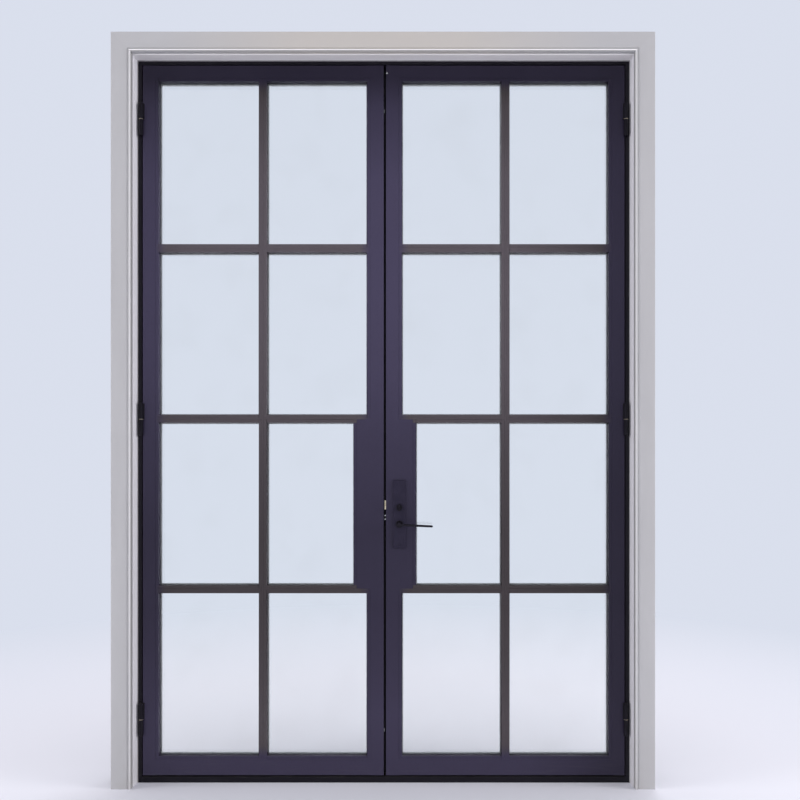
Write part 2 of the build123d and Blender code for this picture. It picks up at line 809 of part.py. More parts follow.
def turn_cam():
    # Boss and a short arm whose pin throws the bolt, with a slot for the blade through the boss
    angle = turn_sweep / 2 - turn_start
    reach = cam_throw * math.sin(math.radians(angle))
    drop = cam_throw * math.cos(math.radians(angle))
    tail_back = leaf_mid - bolt_t / 2 + tail_t
    arm_y = (tail_back + cam_arm_gap, tail_back + cam_arm_gap + tail_t)
    pin_y = (tail_back - tail_t + slide_fit, arm_y[0])
    through = about(leaf_mid, case_t)
    arm = block(about(0, 2 * cam_arm_r), arm_y, (-cam_throw, 0))
    body = rod_y(cam_r, lock_x, turn_z, through) + Pos(lock_x, 0, turn_z) * Rot(0, -angle, 0) * arm
    body += rod_y(cam_arm_r, lock_x + reach, turn_z - drop, arm_y)
    body += rod_y(cam_pin_r, lock_x + reach, turn_z - drop, pin_y)
    return body - blade_slot(through)


def blade_slot(y):
    return block(about(lock_x, blade_t + 2 * blade_fit), y, about(turn_z, blade_w + 2 * blade_fit))


def thumb_turn():
    front = leaf_front - plate_t
    base = rod_y(turn_r, lock_x, turn_z, (front - turn_base_t, front))
    rim = base.edges().filter_by(GeomType.CIRCLE).sort_by(Axis.Y)[0]
    base = fillet(rim, rounding(turn_base_r, turn_base_t))
    grip = block(about(lock_x, turn_grip_w), (front - turn_base_t - turn_grip_out, front),
                 about(turn_z, turn_grip_h))
    grip = fillet(grip.edges().group_by(Axis.Y)[0], rounding(turn_grip_r, turn_grip_w))
    shaft = rod_y(turn_shaft_r, lock_x, turn_z, (front, leaf_mid - case_t / 2 - slide_fit))
    blade_y = (leaf_mid - case_t / 2 - slide_fit, leaf_mid + case_t / 2 + blade_seat)
    return base + grip + shaft + block(about(lock_x, blade_t), blade_y, about(turn_z, blade_w))


def key_cylinder():
    inner = leaf_mid + case_t / 2 + slide_fit
    front = leaf_back + plate_t
    body = rod_y(cylinder_r, lock_x, turn_z, (inner, front))
    collar = rod_y(collar_r, lock_x, turn_z, (front, front + collar_t))
    rim = collar.edges().filter_by(GeomType.CIRCLE).sort_by(Axis.Y)[-1]
    collar = chamfer(rim, rounding(collar_bevel, collar_t))
    return body + collar - rod_y(plug_r + plug_fit, lock_x, turn_z, (inner, front + collar_t))


def key_plug():
    y = (leaf_mid + case_t / 2 + slide_fit, leaf_back + plate_t + collar_t)
    body = rod_y(plug_r, lock_x, turn_z, y)
    body -= block(about(lock_x, keyway_w), (y[1] - keyway_depth, y[1]), about(turn_z, keyway_h))
    return body - blade_slot((y[0], y[0] + blade_seat))


def long_plate(y, hole_r):
    # Bevelled plate, holed for the lever's neck and for the turn or the cylinder
    room_side = y[0] < leaf_front
    body = block(about(lock_x, plate_w), y, about(plate_z, plate_h))
    face = body.edges().group_by(Axis.Y)[0 if room_side else -1]
    body = fillet(face, rounding(plate_edge_r, plate_t))
    return body - rod_y(neck_r + neck_fit, lock_x, lever_z, y) - rod_y(hole_r, lock_x, turn_z, y)


def spindle_socket():
    # The square hole of a handle on the room side, its pivot at the origin
    across = about(0, spindle_w + 2 * spindle_fit)
    return block(across, (-neck_start - spindle_seat, -neck_start), across)


def inner_lever():
    # Round neck and a slim tapering grip, drawn level and then set drooping
    grip_y = about(-plate_t - lever_out, lever_t)
    edge_r = rounding(lever_edge_r, lever_tip_h, lever_h, lever_t)
    root = lever_h / 2
    tip = lever_tip_h / 2
    outline = make_face([
        *Line((0, root), (lever_l - tip, tip)).edges(),
        *ThreePointArc((lever_l - tip, tip), (lever_l, 0), (lever_l - tip, -tip)).edges(),
        *Line((lever_l - tip, -tip), (0, -root)).edges(),
        *Line((0, -root), (0, root)).edges(),
    ])
    grip = extrude(Plane.XZ.offset(-grip_y[0]) * outline, amount=-lever_t)
    grip = fillet(grip.edges().group_by(Axis.Y)[0] + grip.edges().group_by(Axis.Y)[-1], edge_r)
    neck = rod_y(neck_r, 0, 0, (grip_y[0], -neck_start))
    neck = fillet(neck.edges().filter_by(GeomType.CIRCLE).sort_by(Axis.Y)[0], edge_r)
    body = Rot(0, lever_droop, 0) * (neck + grip) - spindle_socket()
    return Pos(lock_x, leaf_front, lever_z) * body


def outer_knob():
    # Turned knob on a round neck, drawn for the room side and then faced outwards
    back = -plate_t - knob_out
    knob = rod_y(knob_r, 0, 0, (back - knob_t, back))
    knob = fillet(knob.edges().filter_by(GeomType.CIRCLE), rounding(knob_edge_r, knob_t, knob_r))
    neck = rod_y(neck_r, 0, 0, (back - knob_t / 2, -neck_start))
    return Pos(lock_x, leaf_back, lever_z) * mirror(neck + knob - spindle_socket(), about=Plane.XZ)


def lever_spindle():
    reach = neck_start + spindle_seat - spindle_end_gap
    return square_bar(spindle_w, (leaf_front - reach, leaf_back + reach))


def frame_pieces():
    left_jamb, right_jamb, head = steel_frame()
    left_liner, right_liner, head_liner = liner()
    left_casing, right_casing, head_casing = casing()
    knuckles, _, pins, washers = right_hinges()
    return {
        "left_jamb": left_jamb,
        "right_jamb": right_jamb,
        "frame_head": head,
        "threshold": threshold(),
        "frame_seal": frame_seal(),
        "left_liner": left_liner,
        "right_liner": right_liner,
        "head_liner": head_liner,
        "left_casing": left_casing,
        "right_casing": right_casing,
        "head_casing": head_casing,
        "left_frame_knuckles": [flip(k) for k in knuckles],
        "right_frame_knuckles": knuckles,
        "hinge_pins": pins + [flip(p) for p in pins],
        "hinge_washers": washers + [flip(w) for w in washers],
    }


def lock_pieces():
    return {
        "lock_case": lock_case(),
        "latch_bolt": latch_bolt(),
        "dead_bolt": dead_bolt(),
        "lock_hub": lock_hub(),
        "lever_spindle": lever_spindle(),
        "inner_lever": inner_lever(),
        "outer_knob": outer_knob(),
        "inner_lock_plate": long_plate((leaf_front - plate_t, leaf_front), turn_shaft_r + slide_fit),
        "outer_lock_plate": long_plate((leaf_back, leaf_back + plate_t), cylinder_r + edge_plate_fit),
        "thumb_turn": thumb_turn(),
        "turn_cam": turn_cam(),
        "key_cylinder": key_cylinder(),
        "key_plug": key_plug(),
    }


def all_pieces():
    _, leaf_knuckles, _, _ = right_hinges()
    pieces = frame_pieces()
    pieces.update(left_leaf())
    pieces.update(right_leaf())
    pieces["left_leaf_knuckles"] = [flip(k) for k in leaf_knuckles]
    pieces["right_leaf_knuckles"] = leaf_knuckles
    pieces.update(lock_pieces())
    return pieces


os.makedirs("parts", exist_ok=True)
for name, shape in all_pieces().items():
    group = shape if isinstance(shape, list) else [shape]
    solids = [solid for piece in group for solid in piece.solids()]
    export_step(Compound(children=solids), f"parts/{name}.step")
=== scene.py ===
import math
import bmesh
import bpy
from mathutils import Matrix, Vector


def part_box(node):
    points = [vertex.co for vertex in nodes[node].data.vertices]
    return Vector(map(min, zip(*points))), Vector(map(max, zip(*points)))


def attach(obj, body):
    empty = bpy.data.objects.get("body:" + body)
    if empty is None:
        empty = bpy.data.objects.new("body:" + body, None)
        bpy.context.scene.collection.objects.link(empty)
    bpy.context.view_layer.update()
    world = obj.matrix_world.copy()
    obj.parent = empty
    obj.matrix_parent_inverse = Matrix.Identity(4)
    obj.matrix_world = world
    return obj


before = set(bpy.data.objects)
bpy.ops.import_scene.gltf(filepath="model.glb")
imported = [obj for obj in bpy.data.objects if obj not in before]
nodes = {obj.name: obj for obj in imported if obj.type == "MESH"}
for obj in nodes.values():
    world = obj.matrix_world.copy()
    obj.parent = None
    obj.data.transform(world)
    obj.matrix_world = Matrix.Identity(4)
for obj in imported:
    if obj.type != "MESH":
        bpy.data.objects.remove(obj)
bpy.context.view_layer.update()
print("door set loaded:", len(nodes), "nodes")

# Camera, a little right of the middle of the doorway and 1.23 m up
cameraLook = {"place": (0.130, -3.36, 1.226), "lens": 39.2, "sensor": 36.0, "shift": (-0.0225, 0.07375)}

cameraData = bpy.data.cameras.new("roomCamera")
cameraData.lens = cameraLook["lens"]
cameraData.sensor_width = cameraLook["sensor"]
cameraData.shift_x, cameraData.shift_y = cameraLook["shift"]
camera = bpy.data.objects.new("roomCamera", cameraData)
camera.location = cameraLook["place"]
camera.rotation_euler = (math.radians(90), 0, 0)  # level, straight at the doors
bpy.context.scene.collection.objects.link(camera)
bpy.context.scene.camera = camera
bpy.context.scene.view_settings.view_transform = "Standard"


# Short ways to add shader nodes

def rgb(colour):
    return (*colour, 1.0)


def addNode(tree, kind, inputs=None, **settings):
    node = tree.nodes.new(kind)
    for key, value in settings.items():
        setattr(node, key, value)
    for key, value in (inputs or {}).items():
        if isinstance(value, bpy.types.NodeSocket):
            tree.links.new(value, node.inputs[key])
        else:
            node.inputs[key].default_value = value
    return node


def newFinish(name):
    finish = bpy.data.materials.new(name)
    finish.use_nodes = True
    tree = finish.node_tree
    tree.nodes.clear()
    shader = addNode(tree, "ShaderNodeBsdfPrincipled")
    output = addNode(tree, "ShaderNodeOutputMaterial")
    tree.links.new(shader.outputs["BSDF"], output.inputs["Surface"])
    return finish, tree, shader


def objectPoints(tree, stretch=(1, 1, 1)):
    coords = addNode(tree, "ShaderNodeTexCoord")
    mapping = addNode(tree, "ShaderNodeMapping", {"Vector": coords.outputs["Object"], "Scale": stretch})
    return mapping.outputs["Vector"]


def noise(tree, points, scale, detail=3.0, roughness=0.55):
    values = {"Vector": points, "Scale": scale, "Detail": detail, "Roughness": roughness}
    return addNode(tree, "ShaderNodeTexNoise", values).outputs[0]


def fitRange(tree, value, low, high, fromLow=0.0, fromHigh=1.0):
    values = {"Value": value, "From Min": fromLow, "From Max": fromHigh, "To Min": low, "To Max": high}
    return addNode(tree, "ShaderNodeMapRange", values).outputs["Result"]


def spots(tree, points, scale, detail, edges, low=0.0, high=1.0, roughness=0.55):
    # Noise stretched to run from low to high between the two edges
    return fitRange(tree, noise(tree, points, scale, detail, roughness), low, high, *edges)


def mixColour(tree, share, first, second):
    return addNode(tree, "ShaderNodeMix", {0: share, 6: first, 7: second}, data_type="RGBA").outputs[2]


def calc(tree, how, first, second=0.0):
    return addNode(tree, "ShaderNodeMath", {0: first, 1: second}, operation=how).outputs[0]


def bump(tree, height, strength, distance, under=None):
    values = {"Height": height, "Strength": strength, "Distance": distance}
    if under is not None:
        values["Normal"] = under
    return addNode(tree, "ShaderNodeBump", values).outputs["Normal"]


def objectSpot(tree):
    coords = addNode(tree, "ShaderNodeTexCoord")
    return addNode(tree, "ShaderNodeSeparateXYZ", {0: coords.outputs["Object"]}).outputs


def facingUp(tree, slope=(0.6, 0.95)):
    coords = addNode(tree, "ShaderNodeTexCoord")
    upward = addNode(tree, "ShaderNodeSeparateXYZ", {0: coords.outputs["Normal"]}).outputs["Z"]
    return fitRange(tree, upward, 0.0, 1.0, *slope)


# Enamelled steel: sprayed satin black with a fine orange peel, dust on ledges, scuffs low down

# The frame's paint is darker and more neutral than the leaves': painted shade, where the jamb and head stand
# back from the light
frameSteelLook = {
    "paint": (0.0060, 0.0050, 0.0090), "patch": (0.0090, 0.0075, 0.0120), "sheen": 0.17,
    "cloudScale": 3.1, "cloudEdges": (0.35, 0.68),
    "speckScale": 260.0, "speckEdges": (0.55, 0.80), "speckShare": 0.35,
    "dust": (0.20, 0.19, 0.18), "dustScale": 24.0, "dustEdges": (0.3, 0.7), "dustLeast": 0.35,
    "dustShare": 0.22, "dustRoughness": 0.8,
    "scuff": (0.10, 0.095, 0.10), "scuffHeight": 0.16, "scuffShare": 0.12,
    "streaks": (9, 9, 130), "streakEdges": (0.56, 0.72),
    "roughness": (0.36, 0.50), "handScale": 7.0, "handStretch": (1.0, 1.0, 0.45), "handEdges": (0.3, 0.7),
    "peel": 0.10, "peelScale": 620.0, "peelDepth": 0.0004,
    "wave": 0.06, "waveScale": 34.0, "waveDepth": 0.002,
}
# On the leaves the paint is lightened in bands up the height as a painted sheen, and kept darker toward the
# right-hand jamb as painted shade
leafSteelLook = {
    **frameSteelLook, "paint": (0.0135, 0.0100, 0.0240), "patch": (0.0170, 0.0130, 0.0290),
    "paintedSheen": (0.0600, 0.0505, 0.0975), "sheen": 0.25, "scuffShare": 0.16, "tall": 2.75,
    "fade": ((0.02, 0.58), (0.09, 0.66), (0.15, 0.48), (0.24, 0.30), (0.34, 0.30), (0.46, 0.52),
             (0.56, 0.86), (0.68, 1.00), (0.83, 0.94), (0.93, 0.45), (0.97, 0.00)),
    "shaded": (0.50, 0.88), "shadedShare": 0.34,
}
barSteelLook = {  # painted glare: the slim bars are painted paler, for the daylight glaring round them
    **leafSteelLook, "bar": (0.0310, 0.0245, 0.0240), "paintedSheenBar": (0.1030, 0.0875, 0.0990),
    "barHalf": 0.0150, "barPitch": 0.646625, "firstBar": 0.732125, "softEdge": 0.002, "softEnd": 0.04,
}


def paintedSheenShare(tree, look):
    # Painted sheen: lightens the paint in bands up the height, and less toward the right-hand jamb, which is
    # left darker as painted shade
    where = objectSpot(tree)
    ramp = addNode(tree, "ShaderNodeValToRGB", {0: calc(tree, "DIVIDE", where["Z"], look["tall"])})
    steps = ramp.color_ramp.elements
    for height, amount in look["fade"][1:-1]:
        steps.new(height)
    for step, (height, amount) in zip(steps, look["fade"]):
        step.position, step.color = height, rgb((amount, amount, amount))
    clearOfJambShade = fitRange(tree, where["X"], 1.0, look["shadedShare"], *look["shaded"])
    return calc(tree, "MULTIPLY", ramp.outputs["Color"], clearOfJambShade)


def barGlareShare(tree, look, opening):
    # Where the bars' painted glare goes: 1 on the glazing bars, 0 beside the stiles and rails
    middle, reach, low, high = opening
    where = objectSpot(tree)
    aside = calc(tree, "ABSOLUTE", calc(tree, "SUBTRACT", where["X"], middle))
    half, pitch, softEnd = look["barHalf"], look["barPitch"], look["softEnd"]
    edge = (half, half + look["softEdge"])
    level = calc(tree, "PINGPONG", calc(tree, "SUBTRACT", where["Z"], look["firstBar"]), pitch / 2)
    above = fitRange(tree, where["Z"], 0.0, 1.0, low, low + softEnd)
    below = fitRange(tree, where["Z"], 1.0, 0.0, high - softEnd, high)
    upright = calc(tree, "MULTIPLY", fitRange(tree, aside, 1.0, 0.0, *edge),
                   calc(tree, "MULTIPLY", above, below))
    above = fitRange(tree, where["Z"], 0.0, 1.0, low + pitch / 3, low + pitch / 2)
    below = fitRange(tree, where["Z"], 1.0, 0.0, high - pitch / 2, high - pitch / 3)
    between = calc(tree, "MULTIPLY", calc(tree, "MULTIPLY", above, below),
                   fitRange(tree, aside, 1.0, 0.0, reach - softEnd, reach))
    cross = calc(tree, "MULTIPLY", fitRange(tree, level, 1.0, 0.0, *edge), between)
    return calc(tree, "MAXIMUM", upright, cross)


def enamelledSteel(name, look, opening=None):
    finish, tree, shader = newFinish(name)
    points = objectPoints(tree)
    cloud = spots(tree, points, look["cloudScale"], 4.0, look["cloudEdges"])
    colour = mixColour(tree, cloud, rgb(look["paint"]), rgb(look["patch"]))
    # Painted sheen by height on the leaves, and painted glare on the bars
    if "paintedSheen" in look:
        paintedSheen = paintedSheenShare(tree, look)
        colour = mixColour(tree, paintedSheen, colour, rgb(look["paintedSheen"]))
    if opening:
        barGlareColour = mixColour(tree, paintedSheen, rgb(look["bar"]), rgb(look["paintedSheenBar"]))
        colour = mixColour(tree, barGlareShare(tree, look, opening), colour, barGlareColour)
    speck = spots(tree, points, look["speckScale"], 2.0, look["speckEdges"], high=look["speckShare"])
    colour = mixColour(tree, speck, colour, rgb(look["patch"]))
    settled = spots(tree, points, look["dustScale"], 5.0, look["dustEdges"], low=look["dustLeast"])
    dusty = calc(tree, "MULTIPLY", calc(tree, "MULTIPLY", facingUp(tree), settled), look["dustShare"])
    colour = mixColour(tree, dusty, colour, rgb(look["dust"]))
    streaks = spots(tree, objectPoints(tree, look["streaks"]), 1.0, 6.0, look["streakEdges"])
    low = fitRange(tree, objectSpot(tree)["Z"], 1.0, 0.0, 0.0, look["scuffHeight"])
    scuffed = calc(tree, "MULTIPLY", calc(tree, "MULTIPLY", streaks, low), look["scuffShare"])
    colour = mixColour(tree, scuffed, colour, rgb(look["scuff"]))
    tree.links.new(colour, shader.inputs["Base Color"])
    gloss = spots(tree, objectPoints(tree, look["handStretch"]), look["handScale"], 5.0, look["handEdges"],
                  *look["roughness"], 0.6)
    gloss = calc(tree, "ADD", gloss, calc(tree, "MULTIPLY", dusty, look["dustRoughness"]))
    tree.links.new(gloss, shader.inputs["Roughness"])
    peel = noise(tree, points, look["peelScale"], 2.0)
    waves = noise(tree, points, look["waveScale"], 2.0)
    wavy = bump(tree, waves, look["wave"], look["waveDepth"])
    tree.links.new(bump(tree, peel, look["peel"], look["peelDepth"], wavy), shader.inputs["Normal"])
    shader.inputs["Specular IOR Level"].default_value = look["sheen"]
    return finish


# Painted woodwork: eggshell white, brushed along each board, a little grime by the floor

woodLook = {
    "paint": (0.508, 0.505, 0.516), "shade": (0.472, 0.469, 0.480), "roughness": (0.36, 0.52), "sheen": 0.42,
    "lapScale": 14.0, "lapStretch": 0.18, "lapEdges": (0.3, 0.7),
    "bristleScale": 900.0, "bristleStretch": 0.012, "bristleEdges": (0.35, 0.75), "bristleShare": 0.30,
    "brush": 0.22, "brushDepth": 0.0004,
    "grime": (0.36, 0.34, 0.32), "grimeScale": 11.0, "grimeEdges": (0.4, 0.65), "grimeLeast": 0.15,
    "grimeHeight": 0.22, "grimeShare": 0.30,
}
casingLook = {  # a painted highlight along the crown of the bead, and a painted shadow line in the crease beside the liner
    **woodLook, "bead": (0.740, 0.735, 0.745), "beadAt": 0.9387, "beadHalf": 0.0013,
    "creaseShadow": (0.300, 0.295, 0.300), "creaseShadowAt": 0.9362, "creaseShadowHalf": 0.0005,
}
headCasingLook = {  # warmer and lighter toward the middle of the head, painted light making up for the weaker light there, with a brighter painted highlight on the bead
    **casingLook, "warm": (0.561, 0.528, 0.492), "warmReach": (0.30, 0.80), "bead": (0.880, 0.865, 0.870),
    "beadAt": 2.7438, "beadHalf": 0.0015, "creaseShadowAt": 2.7400, "creaseShadowHalf": 0.0009,
}
# The liners are painted lighter than the casing as painted light, making up for the little lamp light on
# their inward faces, and the head liner lighter still for its underside; the liner's crease is a painted
# shadow line beside the casing's inner edge
linerLook = {
    **woodLook, "paint": (0.765, 0.755, 0.800), "shade": (0.725, 0.715, 0.760),
    "creaseShadow": (0.300, 0.295, 0.300), "creaseShadowAt": 0.9362, "creaseShadowHalf": 0.0003,
}
headLinerLook = {**woodLook, "paint": (0.890, 0.870, 0.875), "shade": (0.840, 0.820, 0.825)}
# Dark caulk: painted shadow in the corner between liner and steel
caulkShadowLook = {**woodLook, "paint": (0.300, 0.295, 0.310), "shade": (0.250, 0.245, 0.258)}


def stripe(tree, value, middle, half, soft=0.0008):
    # 1 within half of the middle, falling to 0 just past it
    aside = calc(tree, "ABSOLUTE", calc(tree, "SUBTRACT", value, middle))
    return fitRange(tree, aside, 1.0, 0.0, half, half + soft)


def alongBoard(tree, stretch, upright):
    return objectPoints(tree, (1, 1, stretch) if upright else (stretch, 1, 1))


def paintedWood(name, look, upright):
    finish, tree, shader = newFinish(name)
    bristles = alongBoard(tree, look["bristleStretch"], upright)
    bristles = noise(tree, bristles, look["bristleScale"], 4.0, 0.65)
    laps = noise(tree, alongBoard(tree, look["lapStretch"], upright), look["lapScale"], 3.0)
    lapShare = fitRange(tree, laps, 0.0, 1.0, *look["lapEdges"])
    colour = mixColour(tree, lapShare, rgb(look["paint"]), rgb(look["shade"]))
    where = objectSpot(tree)
    if "warm" in look:
        warmth = fitRange(tree, calc(tree, "ABSOLUTE", where["X"]), 1.0, 0.0, *look["warmReach"])
        colour = mixColour(tree, warmth, colour, rgb(look["warm"]))
    lines = fitRange(tree, bristles, 0.0, look["bristleShare"], *look["bristleEdges"])
    colour = mixColour(tree, lines, colour, rgb(look["shade"]))
    out = calc(tree, "ABSOLUTE", where["X"]) if upright else where["Z"]
    # Painted highlight along the bead and painted shadow lines in the creases
    for line in ("bead", "creaseShadow"):
        if line in look:
            onPaintedLine = stripe(tree, out, look[f"{line}At"], look[f"{line}Half"])
            colour = mixColour(tree, onPaintedLine, colour, rgb(look[line]))
    smudges = spots(tree, objectPoints(tree), look["grimeScale"], 5.0, look["grimeEdges"],
                    look["grimeLeast"], 1.0, 0.6)
    low = fitRange(tree, where["Z"], 1.0, 0.0, 0.0, look["grimeHeight"])
    dirty = calc(tree, "MULTIPLY", smudges, low)
    colour = mixColour(tree, calc(tree, "MULTIPLY", dirty, look["grimeShare"]), colour, rgb(look["grime"]))
    tree.links.new(colour, shader.inputs["Base Color"])
    gloss = fitRange(tree, laps, *look["roughness"], *look["lapEdges"])
    tree.links.new(gloss, shader.inputs["Roughness"])
    tree.links.new(bump(tree, bristles, look["brush"], look["brushDepth"]), shader.inputs["Normal"])
    shader.inputs["Specular IOR Level"].default_value = look["sheen"]
    return finish


# Lever, knob, plates and turn in a finely textured black coat, rubbed smoother where held

hardwareLook = {
    "coat": (0.0200, 0.0165, 0.0350), "rubbed": (0.0250, 0.0205, 0.0420), "sheen": 0.20,
    "roughness": (0.40, 0.56), "handScale": 38.0, "handEdges": (0.4, 0.7),
    "grain": 0.16, "grainScale": 1500.0, "grainDepth": 0.0002,
}
# The lever, knob, turn and collars are painted darker than the plates: painted shade, for the lever seen
# black against the daylight behind the doors
leverLook = {**hardwareLook, "coat": (0.0085, 0.0070, 0.0120), "rubbed": (0.0140, 0.0115, 0.0190)}


def texturedCoat(name, look):
    finish, tree, shader = newFinish(name)
    points = objectPoints(tree)
    smooth, rough = look["roughness"]
    hand = spots(tree, points, look["handScale"], 4.0, look["handEdges"])
    colour = mixColour(tree, hand, rgb(look["coat"]), rgb(look["rubbed"]))
    tree.links.new(colour, shader.inputs["Base Color"])
    tree.links.new(fitRange(tree, hand, rough, smooth), shader.inputs["Roughness"])
    grains = noise(tree, points, look["grainScale"], 2.0)
    tree.links.new(bump(tree, grains, look["grain"], look["grainDepth"]), shader.inputs["Normal"])
    shader.inputs["Specular IOR Level"].default_value = look["sheen"]
    return finish


# Bare metals: steel edge plates, brass dead bolt, bronze hinge washers, aluminium glazing spacers

metalPattern = {"lineScale": 1100.0, "markDepth": 0.0002, "patchScale": 46.0, "patchEdges": (0.42, 0.72),
                "wearEdges": (0.15, 0.85)}
steelLook = {**metalPattern, "metal": (0.56, 0.56, 0.55), "dull": (0.36, 0.35, 0.34),
             "roughness": (0.22, 0.42), "brush": (1.0, 1.0, 0.02), "marks": 0.14}
# The latch's dark middle band is painted shade, leaving painted glints at its top and bottom
latchLook = {**steelLook, "paintedDarkBand": (0.030, 0.029, 0.028), "paintedDarkBandMiddle": 1.0040, "paintedDarkBandHalf": 0.0048}
brassLook = {**metalPattern, "metal": (0.90, 0.78, 0.56), "dull": (0.62, 0.50, 0.32),
             "roughness": (0.18, 0.36), "brush": (0.03, 1.0, 1.0), "marks": 0.10}
bronzeLook = {**metalPattern, "metal": (0.50, 0.43, 0.34), "dull": (0.30, 0.24, 0.18),
              "roughness": (0.42, 0.60), "brush": (1.0, 1.0, 1.0), "marks": 0.08}
spacerLook = {**metalPattern, "metal": (0.86, 0.86, 0.85), "dull": (0.78, 0.78, 0.77),
              "roughness": (0.55, 0.68), "brush": (1.0, 1.0, 1.0), "marks": 0.06}


def bareMetal(name, look):
    finish, tree, shader = newFinish(name)
    lines = noise(tree, objectPoints(tree, look["brush"]), look["lineScale"], 4.0, 0.6)
    patches = spots(tree, objectPoints(tree), look["patchScale"], 5.0, look["patchEdges"], roughness=0.6)
    colour = mixColour(tree, patches, rgb(look["metal"]), rgb(look["dull"]))
    if "paintedDarkBand" in look:  # painted shade along the middle, which leaves a painted glint above and below
        inPaintedDarkBand = stripe(tree, objectSpot(tree)["Z"], look["paintedDarkBandMiddle"], look["paintedDarkBandHalf"])
        colour = mixColour(tree, inPaintedDarkBand, colour, rgb(look["paintedDarkBand"]))
    tree.links.new(colour, shader.inputs["Base Color"])
    wear = calc(tree, "ADD", calc(tree, "MULTIPLY", lines, 0.5), calc(tree, "MULTIPLY", patches, 0.5))
    gloss = fitRange(tree, wear, *look["roughness"], *look["wearEdges"])
    tree.links.new(gloss, shader.inputs["Roughness"])
    tree.links.new(bump(tree, lines, look["marks"], look["markDepth"]), shader.inputs["Normal"])
    shader.inputs["Metallic"].default_value = 1.0
    return finish


# Rubber seals and glazing gaskets

rubberLook = {
    "rubber": (0.011, 0.011, 0.012), "roughness": (0.58, 0.78),
    "bloom": (0.040, 0.039, 0.040), "bloomScale": 60.0, "bloomEdges": (0.45, 0.75), "bloomShare": 0.55,
    "grain": 0.12, "grainScale": 800.0, "grainDepth": 0.0002,
}


def sealRubber(name, look):
    finish, tree, shader = newFinish(name)
    points = objectPoints(tree)
    chalky = spots(tree, points, look["bloomScale"], 5.0, look["bloomEdges"], 0.0, look["bloomShare"], 0.65)
    colour = mixColour(tree, chalky, rgb(look["rubber"]), rgb(look["bloom"]))
    tree.links.new(colour, shader.inputs["Base Color"])
    tree.links.new(fitRange(tree, chalky, *look["roughness"]), shader.inputs["Roughness"])
    grains = noise(tree, points, look["grainScale"], 2.0)
    tree.links.new(bump(tree, grains, look["grain"], look["grainDepth"]), shader.inputs["Normal"])
    return finish


# Float glass with the faintest film and roller wave

glassLook = {
    "glass": (0.985, 0.995, 0.992), "roughness": (0.0, 0.018), "ior": 1.5,
    "film": (0.965, 0.975, 0.970), "filmScale": 5.0, "filmEdges": (0.50, 0.80),
    "wave": 0.012, "waveScale": 5.0, "waveStretch": (1, 1, 0.4), "waveDepth": 0.01,
}


def floatGlass(name, look):
    finish, tree, shader = newFinish(name)
    film = spots(tree, objectPoints(tree), look["filmScale"], 6.0, look["filmEdges"], roughness=0.6)
    colour = mixColour(tree, film, rgb(look["glass"]), rgb(look["film"]))
    tree.links.new(colour, shader.inputs["Base Color"])
    tree.links.new(fitRange(tree, film, *look["roughness"]), shader.inputs["Roughness"])
    waves = noise(tree, objectPoints(tree, look["waveStretch"]), look["waveScale"], 1.0)
    tree.links.new(bump(tree, waves, look["wave"], look["waveDepth"]), shader.inputs["Normal"])
    shader.inputs["Transmission Weight"].default_value = 1.0
    shader.inputs["IOR"].default_value = look["ior"]
    return finish


frameSteel = enamelledSteel("frameSteel", frameSteelLook)
leafSteel = enamelledSteel("leafSteel", leafSteelLook)
barSteel = {}
for side in ("left", "right"):
    railLow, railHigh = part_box(f"{side}_bottom_rail")
    middle, reach = (railLow.x + railHigh.x) / 2, (railHigh.x - railLow.x) / 2
    opening = (middle, reach, railHigh.z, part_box(f"{side}_top_rail")[0].z)
    barSteel[side] = enamelledSteel(f"{side}BarSteel", barSteelLook, opening)
casingUpright = paintedWood("casingUpright", casingLook, True)
casingAcross = paintedWood("casingAcross", headCasingLook, False)
linerUpright = paintedWood("linerUpright", linerLook, True)
linerAcross = paintedWood("linerAcross", headLinerLook, False)
caulkPaintedShadow = paintedWood("caulkPaintedShadow", caulkShadowLook, True)
plateCoat = texturedCoat("plateCoat", hardwareLook)
leverCoat = texturedCoat("leverCoat", leverLook)
brushedSteel = bareMetal("brushedSteel", steelLook)
latchSteel = bareMetal("latchSteel", latchLook)
boltBrass = bareMetal("boltBrass", brassLook)
washerBronze = bareMetal("washerBronze", bronzeLook)
spacerMetal = bareMetal("spacerMetal", spacerLook)
blackRubber = sealRubber("blackRubber", rubberLook)
clearGlass = floatGlass("clearGlass", glassLook)
print("finishes made:", len(bpy.data.materials))


# Which finish each part of the frame carries

finishOf = {
    "left_jamb": frameSteel, "right_jamb": frameSteel, "frame_head": frameSteel, "threshold": frameSteel,
    "frame_seal": blackRubber, "left_liner": linerUpright, "right_liner": linerUpright,
    "head_liner": linerAcross, "left_casing": casingUpright, "right_casing": casingUpright,
    "head_casing": casingAcross, "left_frame_knuckles": frameSteel, "right_frame_knuckles": frameSteel,
    "hinge_pins": brushedSteel, "hinge_washers": washerBronze,
    "meeting_seal": blackRubber, "strike_plate": brushedSteel, "flush_bolt_plates": brushedSteel,
    "top_flush_bolt": brushedSteel, "bottom_flush_bolt": brushedSteel,
    "lock_case": brushedSteel, "lock_faceplate": brushedSteel, "inner_lock_plate": plateCoat,
    "outer_lock_plate": plateCoat, "key_cylinder": brushedSteel, "key_plug": brushedSteel,
    "lever_spindle": brushedSteel, "lock_hub": brushedSteel, "inner_lever": leverCoat,
    "outer_knob": leverCoat, "latch_bolt": latchSteel, "dead_bolt": boltBrass,
    "thumb_turn": leverCoat, "turn_cam": brushedSteel,
}
leafFinishes = {
    "hinge_stile": leafSteel, "meeting_stile": leafSteel, "top_rail": leafSteel, "bottom_rail": leafSteel,
    "lock_panel": leafSteel, "glass": clearGlass, "glass_spacers": spacerMetal,
    "glazing_gaskets": blackRubber, "leaf_knuckles": frameSteel, "sweep": blackRubber,
}
